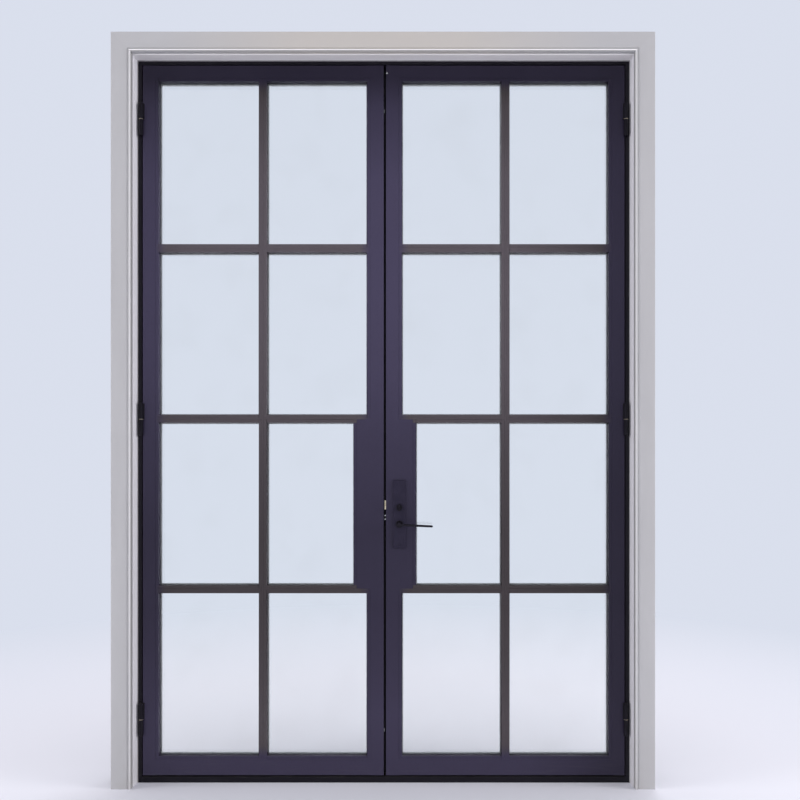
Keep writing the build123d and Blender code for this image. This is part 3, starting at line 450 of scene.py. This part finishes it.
for side in ("left", "right"):
    finishOf.update({f"{side}_{part}": finish for part, finish in leafFinishes.items()})
    for part in ("upright_bar", "cross_bars", "glazing_beads"):
        finishOf[f"{side}_{part}"] = barSteel[side]


def dress(node, finish):
    if not node.material_slots:
        node.data.materials.append(finish)
    for slot in node.material_slots:
        slot.material = finish


for name, node in nodes.items():
    dress(node, finishOf[name])
print("finishes on", len(finishOf), "nodes")


# Edges eased by the paint or the file, metres

easedEdges = {
    "jamb": 0.0010, "head": 0.0010, "threshold": 0.0010, "liner": 0.0010, "casing": 0.0007,
    "bars": 0.0005, "bar": 0.0005, "beads": 0.0007, "knuckles": 0.0004, "plate": 0.0003, "plates": 0.0003,
}
easing = {"join": 0.00001, "flat": 0.5, "sharp": 40, "segments": 2}  # metres, then degrees


def easeEdges(node, width):
    weld = node.modifiers.new("joinCorners", "WELD")
    weld.merge_threshold = easing["join"]
    flats = node.modifiers.new("joinFlats", "DECIMATE")
    flats.decimate_type = "DISSOLVE"
    flats.angle_limit = math.radians(easing["flat"])
    ease = node.modifiers.new("easeEdges", "BEVEL")
    ease.width = width
    ease.segments = easing["segments"]
    ease.limit_method = "ANGLE"
    ease.angle_limit = math.radians(easing["sharp"])


for name, node in nodes.items():
    for ending, width in easedEdges.items():
        if name.endswith(ending):
            easeEdges(node, width)
            break
print("edges eased")


# Pieces added to the doors

def makePiece(name, shape, finish, body):
    bmesh.ops.remove_doubles(shape, verts=shape.verts, dist=0.000001)
    bmesh.ops.recalc_face_normals(shape, faces=shape.faces)
    mesh = bpy.data.meshes.new(name)
    shape.to_mesh(mesh)
    shape.free()
    mesh.materials.append(finish)
    piece = bpy.data.objects.new(name, mesh)
    bpy.context.scene.collection.objects.link(piece)
    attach(piece, body)
    return piece


def facing(normal):
    return Vector((0, 0, 1)).rotation_difference(Vector(normal)).to_matrix().to_4x4()


socketTaper = 0.12  # how much narrower the socket is at its bottom


def screwHead(look):
    # A low round head with a socket of as many sides as the head, standing on the origin
    shape = bmesh.new()
    crown = look["radius"] * look["crown"]
    bmesh.ops.create_cone(shape, cap_ends=True, cap_tris=False, segments=look["sides"],
                          radius1=look["radius"], radius2=crown, depth=look["height"] + look["sunk"])
    bmesh.ops.translate(shape, verts=shape.verts, vec=(0, 0, (look["height"] - look["sunk"]) / 2))
    top = max(shape.faces, key=lambda face: face.calc_center_median().z)
    bmesh.ops.inset_individual(shape, faces=[top], thickness=crown - look["socket"])
    bmesh.ops.inset_individual(shape, faces=[top], thickness=look["socket"] * socketTaper,
                               depth=-look["depth"])
    mesh = bpy.data.meshes.new("screwHead")
    shape.to_mesh(mesh)
    shape.free()
    return mesh


def addScrews(shape, head, places, normal):
    for place in places:
        before = len(shape.verts)
        shape.from_mesh(head)
        shape.verts.ensure_lookup_table()
        matrix = Matrix.Translation(place) @ facing(normal)
        bmesh.ops.transform(shape, verts=shape.verts[before:], matrix=matrix)


def spread(low, high, ends, count):
    step = (high - low - 2 * ends) / (count - 1)
    return [low + ends + step * i for i in range(count)]


# Small screws that hold the glazing beads, along the middle of each strip

beadScrewLook = {"radius": 0.0026, "height": 0.0009, "sunk": 0.0004, "crown": 0.78, "socket": 0.0011,
                 "depth": 0.0007, "sides": 12, "acrossCount": 3, "uprightCount": 4, "ends": 0.05}
glazing = {"bead": 0.012, "web": 0.006, "rows": 4, "lockRow": 1}


def panes(side):
    # Left, right, bottom and top of each glazed opening, read from the frame
    railLow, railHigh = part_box(f"{side}_bottom_rail")
    bottom = railHigh.z - glazing["bead"]
    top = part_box(f"{side}_top_rail")[0].z + glazing["bead"]
    barLow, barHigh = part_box(f"{side}_upright_bar")
    barMiddle, halfWeb = (barLow.x + barHigh.x) / 2, glazing["web"] / 2
    panelLow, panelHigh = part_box(f"{side}_lock_panel")
    tall = (top - bottom - (glazing["rows"] - 1) * glazing["web"]) / glazing["rows"]
    for row in range(glazing["rows"]):
        low = bottom + row * (tall + glazing["web"])
        columns = [[railLow.x, barMiddle - halfWeb], [barMiddle + halfWeb, railHigh.x]]
        if row == glazing["lockRow"] and side == "left":
            columns[1][1] = panelLow.x + glazing["bead"]
        if row == glazing["lockRow"] and side == "right":
            columns[0][0] = panelHigh.x - glazing["bead"]
        for left, right in columns:
            yield left, right, low, low + tall


beadHead = screwHead(beadScrewLook)
for side in ("left", "right"):
    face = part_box(f"{side}_glazing_beads")[0].y
    half = glazing["bead"] / 2
    places = []
    for left, right, low, high in panes(side):
        for x in spread(left, right, beadScrewLook["ends"], beadScrewLook["acrossCount"]):
            places += [(x, face, low + half), (x, face, high - half)]
        for z in spread(low, high, beadScrewLook["ends"], beadScrewLook["uprightCount"]):
            places += [(left + half, face, z), (right - half, face, z)]
    shape = bmesh.new()
    addScrews(shape, beadHead, places, (0, -1, 0))
    makePiece(f"{side}_bead_screws", shape, barSteel[side], f"{side}_leaf")
    print(side, "bead screws:", len(places))


# Screws in the long plates, the faceplate, the strike and the flush bolt plates

plateScrewLook = {"radius": 0.0042, "height": 0.0007, "sunk": 0.0004, "crown": 0.80, "socket": 0.0017,
                  "depth": 0.0006, "sides": 16, "inFromEnd": 0.012}
edgeScrewLook = {"radius": 0.0036, "height": 0.0005, "sunk": 0.0003, "crown": 0.84, "socket": 0.0015,
                 "depth": 0.0004, "sides": 16, "inFromEnd": 0.009}


def endPlaces(node, look, x=None, y=None):
    low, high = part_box(node)
    middle = (low + high) / 2
    return [(middle.x if x is None else x, middle.y if y is None else y, z)
            for z in (low.z + look["inFromEnd"], high.z - look["inFromEnd"])]


plateHead = screwHead(plateScrewLook)
for node, normal in (("inner_lock_plate", -1), ("outer_lock_plate", 1)):
    low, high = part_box(node)
    shape = bmesh.new()
    addScrews(shape, plateHead, endPlaces(node, plateScrewLook, y=low.y if normal < 0 else high.y),
              (0, normal, 0))
    makePiece(f"{node}_screws", shape, plateCoat, "right_leaf")

edgeHead = screwHead(edgeScrewLook)
shape = bmesh.new()
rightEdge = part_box("lock_faceplate")[0].x
addScrews(shape, edgeHead, endPlaces("lock_faceplate", edgeScrewLook, x=rightEdge), (-1, 0, 0))
makePiece("faceplate_screws", shape, brushedSteel, "right_leaf")

shape = bmesh.new()
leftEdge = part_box("strike_plate")[1].x
addScrews(shape, edgeHead, endPlaces("strike_plate", edgeScrewLook, x=leftEdge), (1, 0, 0))
flushLow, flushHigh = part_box("flush_bolt_plates")
flushLength, inFromEnd = 0.170, edgeScrewLook["inFromEnd"]
for low in (flushLow.z, flushHigh.z - flushLength):
    heights = (low + inFromEnd, low + flushLength - inFromEnd)
    places = [(leftEdge, (flushLow.y + flushHigh.y) / 2, z) for z in heights]
    addScrews(shape, edgeHead, places, (1, 0, 0))
makePiece("strike_screws", shape, brushedSteel, "left_leaf")
print("plate screws made")


# Round steel stud near the top of the right leaf, on its room face

studLook = {"x": 0.0125, "z": 2.687, "radius": 0.0042, "height": 0.0040, "sides": 24, "rings": 14}

shape = bmesh.new()
bmesh.ops.create_uvsphere(shape, u_segments=studLook["sides"], v_segments=studLook["rings"],
                          radius=studLook["radius"])
bmesh.ops.bisect_plane(shape, geom=shape.verts[:] + shape.edges[:] + shape.faces[:], plane_co=(0, 0, 0),
                       plane_no=(0, 0, -1), clear_outer=True)
bmesh.ops.holes_fill(shape, edges=[edge for edge in shape.edges if edge.is_boundary])
bmesh.ops.scale(shape, verts=shape.verts, vec=(1, 1, studLook["height"] / studLook["radius"]))
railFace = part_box("right_top_rail")[0].y
matrix = Matrix.Translation((studLook["x"], railFace, studLook["z"])) @ facing((0, -1, 0))
bmesh.ops.transform(shape, verts=shape.verts, matrix=matrix)
stud = makePiece("top_stud", shape, brushedSteel, "right_leaf")
for face in stud.data.polygons:
    face.use_smooth = True


# Turned collars round the necks of the lever and the knob, on the long plates

collarLook = {"inner": 0.0096, "outer": 0.0135, "height": 0.0030, "ease": 0.0008, "sides": 48}


def collar(name, node, normal):
    low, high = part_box(node)
    spindleLow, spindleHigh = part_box("lever_spindle")
    middle = (spindleLow + spindleHigh) / 2
    face = low.y if normal < 0 else high.y
    inner, outer, height = collarLook["inner"], collarLook["outer"], collarLook["height"]
    shape = bmesh.new()
    section = [(inner, 0, 0), (outer, 0, 0), (outer, 0, height), (inner, 0, height)]
    ring = shape.faces.new([shape.verts.new(point) for point in section])
    bmesh.ops.spin(shape, geom=[ring], cent=(0, 0, 0), axis=(0, 0, 1), dvec=(0, 0, 0),
                   angle=math.radians(360), steps=collarLook["sides"], use_merge=True)
    bmesh.ops.remove_doubles(shape, verts=shape.verts, dist=0.00001)
    inside = [part for part in shape.faces if all(abs(vert.co.y) < 0.000001 for vert in part.verts)]
    bmesh.ops.delete(shape, geom=inside, context="FACES_ONLY")
    top = [edge for edge in shape.edges if all(vert.co.z > height * 0.9 for vert in edge.verts)
           and len({round(vert.co.xy.length, 5) for vert in edge.verts}) == 1]
    bmesh.ops.bevel(shape, geom=top, offset=collarLook["ease"], segments=3, profile=0.5, affect="EDGES",
                    material=-1)
    bmesh.ops.transform(shape, verts=shape.verts,
                        matrix=Matrix.Translation((middle.x, face, middle.z)) @ facing((0, normal, 0)))
    makePiece(name, shape, leverCoat, "right_leaf")


collar("inner_collar", "inner_lock_plate", -1)
collar("outer_collar", "outer_lock_plate", 1)
print("stud and collars made")


# Weld beads where the hinge lugs meet the frame and the leaves

weldLook = {"radius": 0.0024, "ripple": 0.0017, "waist": 0.86, "end": 0.6, "sides": 10}


def weldBead(shape, x, y, low, high):
    steps = int((high - low) / weldLook["ripple"]) * 2
    made = bmesh.ops.create_circle(shape, cap_ends=True, segments=weldLook["sides"],
                                   radius=weldLook["radius"] * weldLook["end"])
    bmesh.ops.translate(shape, verts=made["verts"], vec=(x, y, low))
    ring = list({edge for vert in made["verts"] for edge in vert.link_edges})
    for step in range(1, steps + 1):
        grown = bmesh.ops.extrude_edge_only(shape, edges=ring)["geom"]
        verts = [item for item in grown if isinstance(item, bmesh.types.BMVert)]
        ring = [item for item in grown if isinstance(item, bmesh.types.BMEdge)]
        height = low + (high - low) * step / steps
        swell = weldLook["end"] if step == steps else 1.0 if step % 2 else weldLook["waist"]
        width = weldLook["radius"] * swell
        for vert in verts:
            outward = Vector((vert.co.x - x, vert.co.y - y)).normalized()
            vert.co = (x + outward.x * width, y + outward.y * width, height)
    bmesh.ops.contextual_create(shape, geom=ring)


hinges = {"length": 0.125, "dome": 0.005, "break": 0.004, "washerHalf": 0.001}

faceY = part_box("left_hinge_stile")[0].y
washerLow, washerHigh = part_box("hinge_washers")
lowest, highest = washerLow.z + hinges["washerHalf"], washerHigh.z - hinges["washerHalf"]
for side, sign in (("left", -1), ("right", 1)):
    frameEdge = max(abs(corner.x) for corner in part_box(f"{side}_frame_knuckles"))
    leafEdge = min(abs(corner.x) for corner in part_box(f"{side}_leaf_knuckles"))
    frameWelds, leafWelds = bmesh.new(), bmesh.new()
    for middle in (lowest, (lowest + highest) / 2, highest):
        reach = hinges["length"] / 2 - hinges["dome"]
        weldBead(frameWelds, sign * frameEdge, faceY, middle - reach, middle - hinges["break"])
        weldBead(leafWelds, sign * leafEdge, faceY, middle + hinges["break"], middle + reach)
    makePiece(f"{side}_frame_welds", frameWelds, frameSteel, "frame")
    makePiece(f"{side}_leaf_welds", leafWelds, leafSteel, f"{side}_leaf")
print("hinge welds made")


# Painter's caulk in the corner between the liner and the steel frame, coloured dark as painted shadow in
# that corner

caulkSizes = {"size": 0.0030, "lap": 0.0004}


def caulkStrip(shape, start, end):
    # A three-sided strip between two ends, each end a list of three points
    face = shape.faces.new([shape.verts.new(point) for point in start])
    grown = bmesh.ops.extrude_face_region(shape, geom=[face])["geom"]
    for vert in [item for item in grown if isinstance(item, bmesh.types.BMVert)]:
        nearest = min(range(len(start)), key=lambda i: (vert.co - Vector(start[i])).length)
        vert.co = end[nearest]


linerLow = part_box("head_liner")[0]
legLow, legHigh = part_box("right_liner")
inner, top, front = legLow.x, linerLow.z, legHigh.y
size, lap = caulkSizes["size"], caulkSizes["lap"]
shape = bmesh.new()
section = ((lap, lap), (-size, lap), (lap, -size))
for sign in (-1, 1):
    foot = [(sign * (inner + across), front + deep, 0.0) for across, deep in section]
    head = [(sign * (inner + across), front + deep, top + across) for across, deep in section]
    caulkStrip(shape, foot, head)
left = [(-(inner + across), front + deep, top + across) for across, deep in section]
right = [(inner + across, front + deep, top + across) for across, deep in section]
caulkStrip(shape, left, right)
makePiece("liner_caulk", shape, caulkPaintedShadow, "frame")
print("caulk made")


# Rubber fin along the meeting seal, which closes what is left of the gap between the leaves

finLook = {"root": 0.0048, "reach": 0.0082, "thick": 0.0016, "tip": 0.0007, "round": 0.0002,
           "lean": 0.0012, "end": 0.001}

sealLow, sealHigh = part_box("meeting_seal")
rootY = (sealLow.y + sealHigh.y) / 2
tipY = rootY + finLook["lean"]
outline = [
    (finLook["root"], rootY - finLook["thick"] / 2), (finLook["reach"], tipY - finLook["tip"] / 2),
    (finLook["reach"] + finLook["round"], tipY), (finLook["reach"], tipY + finLook["tip"] / 2),
    (finLook["root"], rootY + finLook["thick"] / 2),
]
shape = bmesh.new()
profile = shape.faces.new([shape.verts.new((x, y, sealLow.z + finLook["end"])) for x, y in outline])
grown = bmesh.ops.extrude_face_region(shape, geom=[profile])["geom"]
bmesh.ops.translate(shape, verts=[item for item in grown if isinstance(item, bmesh.types.BMVert)],
                    vec=(0, 0, sealHigh.z - sealLow.z - 2 * finLook["end"]))
bmesh.ops.holes_fill(shape, edges=[edge for edge in shape.edges if edge.is_boundary])
makePiece("meeting_fin", shape, blackRubber, "left_leaf")
print("meeting fin made")


# Studio: pale floor and backdrop, soft lamps to both sides, one over the garden side, and a soft sky

studio = {
    "floor": (0.755, 0.760, 0.835), "backdrop": (0.700, 0.740, 0.845), "near": 1.6, "far": 4.0,
    "level": (0.96, 0.96, 1.0), "overhead": (0.84, 0.83, 0.86), "skyStrength": 0.845,
    "overheadFrom": (0.05, 0.55), "overheadGloss": 0.30, "floorSize": 40.0, "floorRoughness": 0.75,
    "lampAim": (0, 0, 1.3),
}
lamps = {
    "leftLamp": {"place": (-7.5, -2.0, 2.5), "size": 3.4, "power": 290.0, "colour": (1.0, 0.985, 0.970)},
    "rightLamp": {"place": (7.5, -2.0, 2.5), "size": 3.4, "power": 350.0, "colour": (1.0, 0.985, 0.975)},
    "gardenLamp": {"place": (1.8, 4.6, 8.2), "size": 4.0, "power": 210.0, "colour": (0.96, 0.98, 1.0)},
}


def seenRays(tree, withGloss):
    path = addNode(tree, "ShaderNodeLightPath").outputs
    seen = calc(tree, "MAXIMUM", path["Is Camera Ray"], path["Is Transmission Ray"])
    return calc(tree, "MAXIMUM", seen, path["Is Glossy Ray"]) if withGloss else seen


def background(tree, colour, strength):
    return addNode(tree, "ShaderNodeBackground", {"Color": colour, "Strength": strength}).outputs[0]


def mixShader(tree, share, first, second):
    return addNode(tree, "ShaderNodeMixShader", {0: share, 1: first, 2: second}).outputs[0]


world = bpy.data.worlds.new("paleStudio")
bpy.context.scene.world = world
world.use_nodes = True
worldTree = world.node_tree
worldTree.nodes.clear()
direction = addNode(worldTree, "ShaderNodeTexCoord").outputs["Generated"]
upward = addNode(worldTree, "ShaderNodeSeparateXYZ", {0: direction}).outputs["Z"]
overhead = fitRange(worldTree, upward, 0.0, 1.0, *studio["overheadFrom"])
skyColour = mixColour(worldTree, overhead, rgb(studio["level"]), rgb(studio["overhead"]))
skyLight = background(worldTree, skyColour, studio["skyStrength"])
backdrop = background(worldTree, rgb(studio["backdrop"]), 1.0)
glossLevel = fitRange(worldTree, overhead, 1.0, studio["overheadGloss"])
glossLight = background(worldTree, rgb(studio["backdrop"]), glossLevel)
isGlossy = addNode(worldTree, "ShaderNodeLightPath").outputs["Is Glossy Ray"]
unseen = mixShader(worldTree, isGlossy, skyLight, glossLight)
skyMix = mixShader(worldTree, seenRays(worldTree, False), unseen, backdrop)
addNode(worldTree, "ShaderNodeOutputWorld", {"Surface": skyMix})

floorFinish, floorTree, floorShader = newFinish("paleFloor")
floorShader.inputs["Base Color"].default_value = rgb(studio["floor"])
floorShader.inputs["Roughness"].default_value = studio["floorRoughness"]
floorCoords = addNode(floorTree, "ShaderNodeTexCoord").outputs["Object"]
away = addNode(floorTree, "ShaderNodeVectorMath", {0: floorCoords}, operation="LENGTH").outputs["Value"]
fade = fitRange(floorTree, away, 0.0, 1.0, studio["near"], studio["far"])
fade = calc(floorTree, "MULTIPLY", fade, seenRays(floorTree, True))
glow = addNode(floorTree, "ShaderNodeEmission", {"Color": rgb(studio["backdrop"]), "Strength": 1.0})
floorMix = mixShader(floorTree, fade, floorShader.outputs[0], glow.outputs[0])
floorTree.links.new(floorMix, floorTree.nodes["Material Output"].inputs["Surface"])
shape = bmesh.new()
bmesh.ops.create_grid(shape, x_segments=8, y_segments=8, size=studio["floorSize"] / 2)
floorMesh = bpy.data.meshes.new("studioFloor")
shape.to_mesh(floorMesh)
shape.free()
floorMesh.materials.append(floorFinish)
floor = bpy.data.objects.new("studioFloor", floorMesh)
bpy.context.scene.collection.objects.link(floor)

for name, look in lamps.items():
    lampData = bpy.data.lights.new(name, "AREA")
    lampData.size = look["size"]
    lampData.energy = look["power"]
    lampData.color = look["colour"]
    lamp = bpy.data.objects.new(name, lampData)
    lamp.location = look["place"]
    lamp.visible_glossy = False  # no white lamp shapes in or through the panes
    lamp.visible_transmission = False
    toDoors = Vector(studio["lampAim"]) - Vector(look["place"])
    lamp.rotation_euler = toDoors.to_track_quat("-Z", "Y").to_euler()
    bpy.context.scene.collection.objects.link(lamp)
print("studio made")
